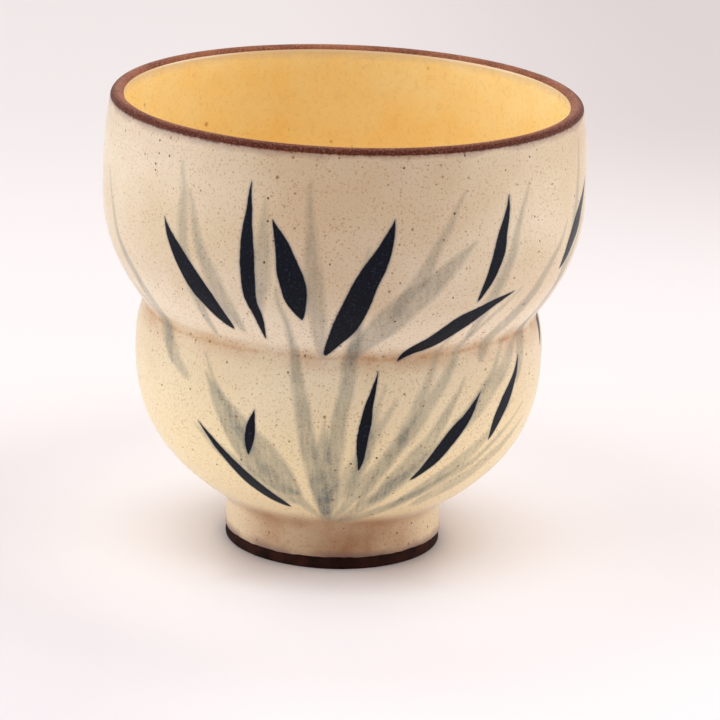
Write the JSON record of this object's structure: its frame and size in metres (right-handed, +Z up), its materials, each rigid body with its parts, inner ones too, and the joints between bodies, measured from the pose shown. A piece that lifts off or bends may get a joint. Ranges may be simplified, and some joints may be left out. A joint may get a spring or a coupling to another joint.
{
  "type": "gongfu teacup",
  "caption": "Small handleless tea cup: rounded shoulder over a pressed waist, cream outside, yellow inside, dark lip band and a turned foot ring bare at the bottom.",
  "frame": {"origin": "centre of the circle that the foot ring rests on, at table height", "axes": "+Z up along the cup's axis of turning; -Y towards the side that the picture shows"},
  "size_m": [0.0446, 0.0446, 0.0428],
  "materials": {
    "dark_clay": "matt fired stoneware with fine grit",
    "cream_glaze": "satin cream glaze with iron speckles",
    "yellow_glaze": "satin warm yellow glaze, softly mottled",
    "iron_glaze": "satin iron-brown glaze with speckles"
  },
  "bodies": {
    "root": {"clay_body": "dark_clay", "foot_ring": "dark_clay", "outer_glaze": "cream_glaze", "inner_glaze": "yellow_glaze", "rim_band": "iron_glaze", "foot_recess_glaze": "cream_glaze"}
  },
  "joints": []
}
